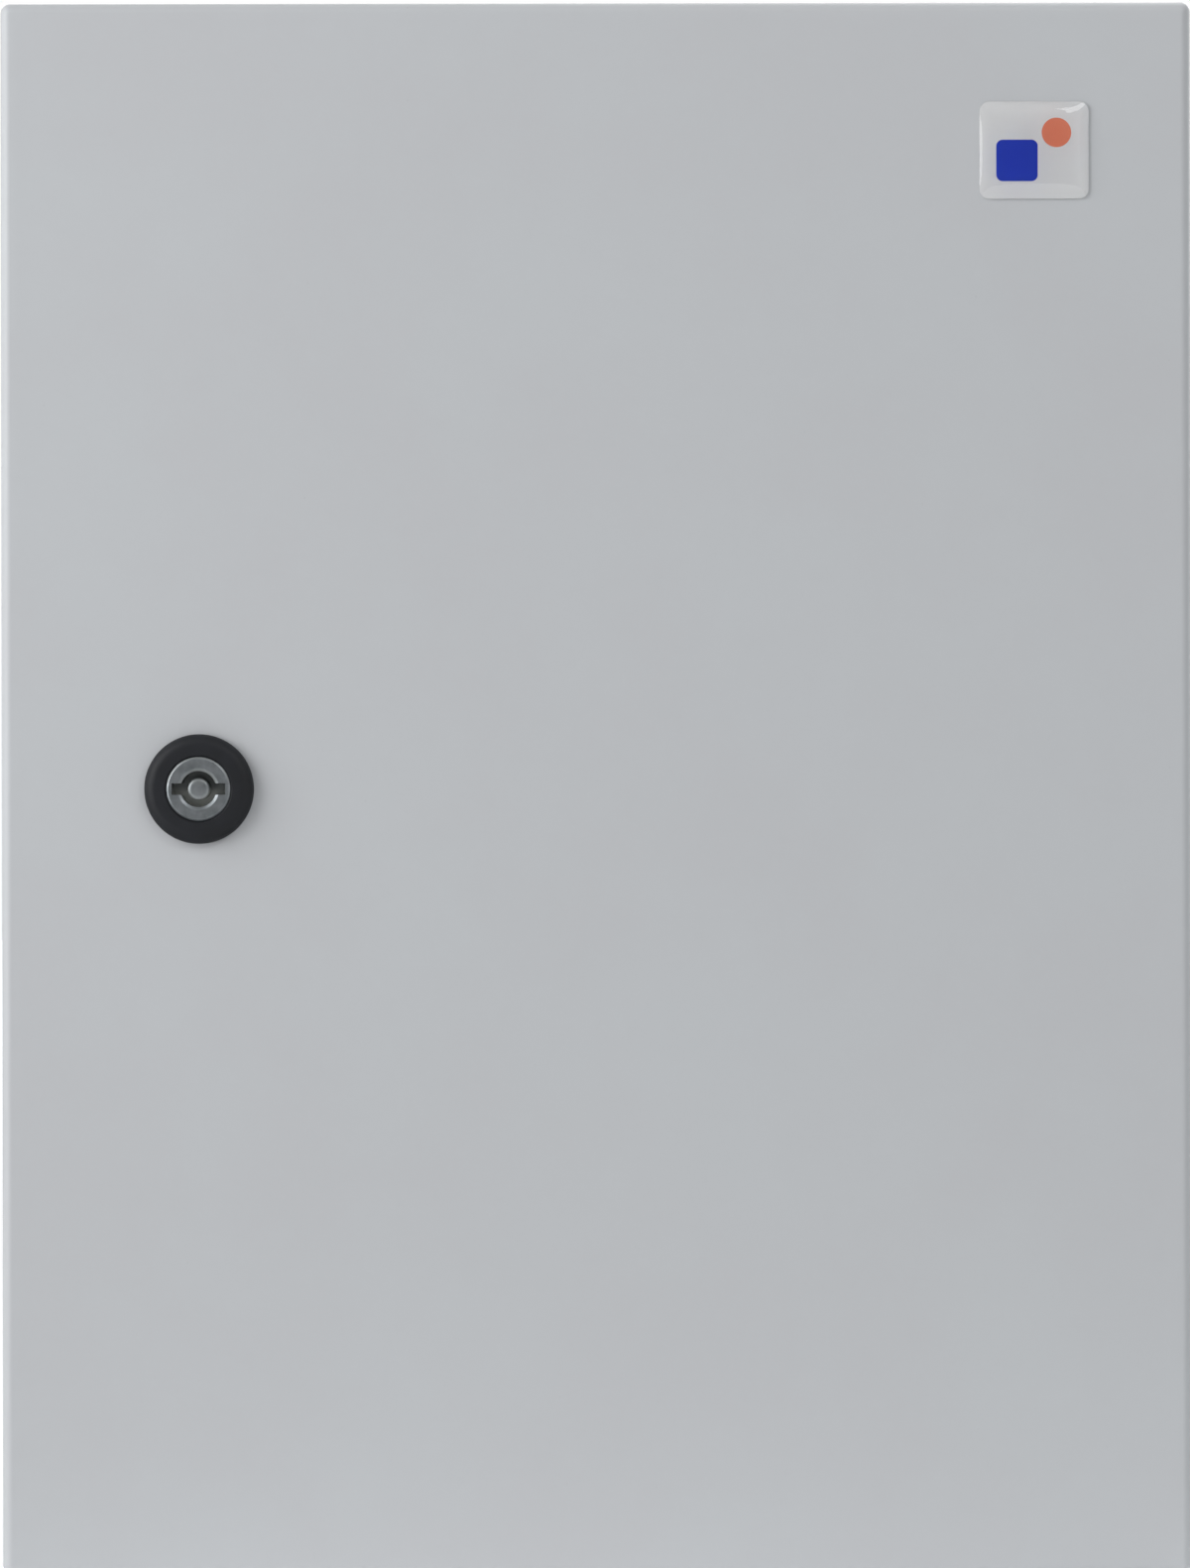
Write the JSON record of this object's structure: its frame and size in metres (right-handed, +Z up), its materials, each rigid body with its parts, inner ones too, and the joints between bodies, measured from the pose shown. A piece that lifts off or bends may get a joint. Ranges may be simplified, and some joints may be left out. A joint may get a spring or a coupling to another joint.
{
  "type": "wall-mounted steel enclosure",
  "caption": "Grey steel wall enclosure with a hinged door, foam seal, rain gutter, concealed hinges, quarter-turn lock, mounting plate and gland plate.",
  "frame": {"origin": "centre of the wall-hole pattern on the back's outer face", "axes": "+Z up, +Y into the wall, +X to the right seen from the front, so the door faces -Y"},
  "size_m": [0.3, 0.204, 0.4],
  "materials": {
    "painted_steel": "fine structured grey powder coat, satin",
    "zinc_plate": "bright zinc plating on steel",
    "galvanised_sheet": "galvanised sheet with a faint spangle",
    "copper_stud": "thin copper flash on a steel weld stud",
    "seal_foam": "poured polyurethane foam with a matt skin",
    "seal_rubber": "moulded black rubber",
    "lock_black": "black moulded housing, satin",
    "lock_insert": "bare zinc die casting",
    "badge_print": "printed silver-white film",
    "badge_resin": "clear domed resin"
  },
  "bodies": {
    "cabinet": {"enclosure_body": "painted_steel", "mounting_plate": "galvanised_sheet", "plate_studs": "zinc_plate", "plate_spacers": "zinc_plate", "plate_washers": "zinc_plate", "plate_nuts": "zinc_plate", "gland_plate": "painted_steel", "gland_gasket": "seal_foam", "gland_studs": "zinc_plate", "gland_washers": "zinc_plate", "gland_nuts": "zinc_plate", "body_earth_stud": "copper_stud", "body_earth_washers": "zinc_plate", "body_earth_nut": "zinc_plate", "hinge_bracket_upper": "zinc_plate", "hinge_bracket_lower": "zinc_plate", "hinge_pin_upper": "zinc_plate", "hinge_pin_lower": "zinc_plate", "hinge_pin_clips": "zinc_plate", "hinge_screws": "zinc_plate", "hinge_weld_nuts": "zinc_plate"},
    "door": {"door_panel": "painted_steel", "door_seal": "seal_foam", "hinge_leaf_upper": "zinc_plate", "hinge_leaf_lower": "zinc_plate", "door_earth_stud": "copper_stud", "door_earth_washers": "zinc_plate", "door_earth_nut": "zinc_plate", "badge_label": "badge_print", "badge_dome": "badge_resin", "lock_housing": "lock_black", "lock_seal": "seal_rubber", "lock_nut": "zinc_plate"},
    "lock": {"lock_rotor": "lock_insert", "rotor_ring": "seal_rubber", "stop_disc": "zinc_plate", "lock_cam": "zinc_plate", "cam_washer": "zinc_plate", "cam_screw": "zinc_plate"}
  },
  "joints": [
    {"name": "door_hinge", "type": "hinge", "parent": "cabinet", "child": "door", "pos_m": [0.1445, -0.18651, 0], "axis": [0, 0, 1], "range_deg": [0, 120]},
    {"name": "lock_turn", "type": "hinge", "parent": "door", "child": "lock", "pos_m": [-0.1, -0.2, 0], "axis": [0, 1, 0], "range_deg": [0, 90]}
  ]
}
